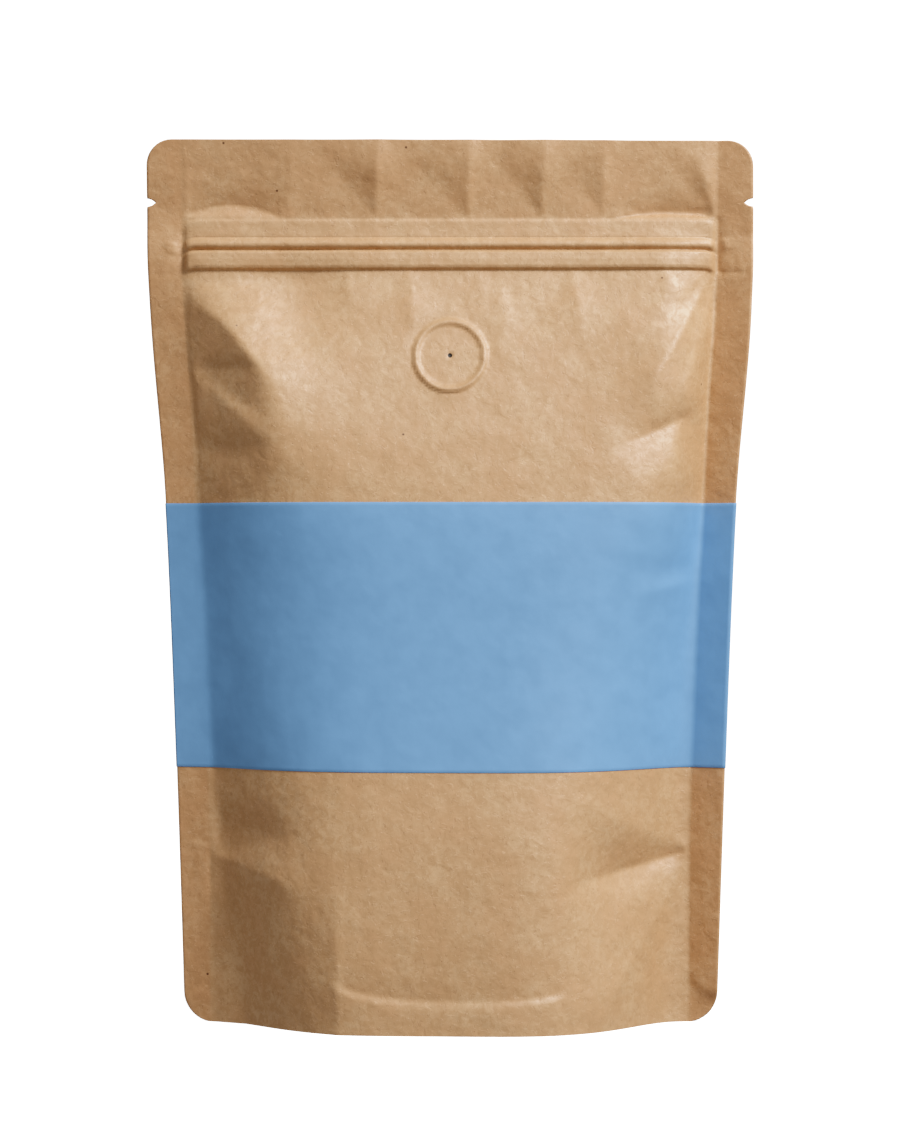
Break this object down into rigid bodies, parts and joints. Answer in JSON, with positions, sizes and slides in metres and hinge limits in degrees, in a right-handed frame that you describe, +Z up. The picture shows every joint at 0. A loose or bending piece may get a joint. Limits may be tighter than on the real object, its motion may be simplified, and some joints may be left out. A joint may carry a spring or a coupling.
{
  "type": "kraft coffee bag",
  "caption": "Filled and shut stand-up coffee pouch of kraft paper laminate, with a bottom gusset, side fins, press-to-close strip, degassing valve and coloured band.",
  "frame": {"origin": "on the floor under the middle of the pouch", "axes": "+Z up, +X to the right across the front panel, -Y out of the front panel, which carries the valve"},
  "size_m": [0.1582, 0.0576, 0.23],
  "materials": {
    "kraft": "matt kraft paper over film, with fine fibres and specks",
    "blue_band": "smooth matt blue"
  },
  "bodies": {
    "root": {"pouch": "kraft", "band": "blue_band"}
  },
  "joints": []
}
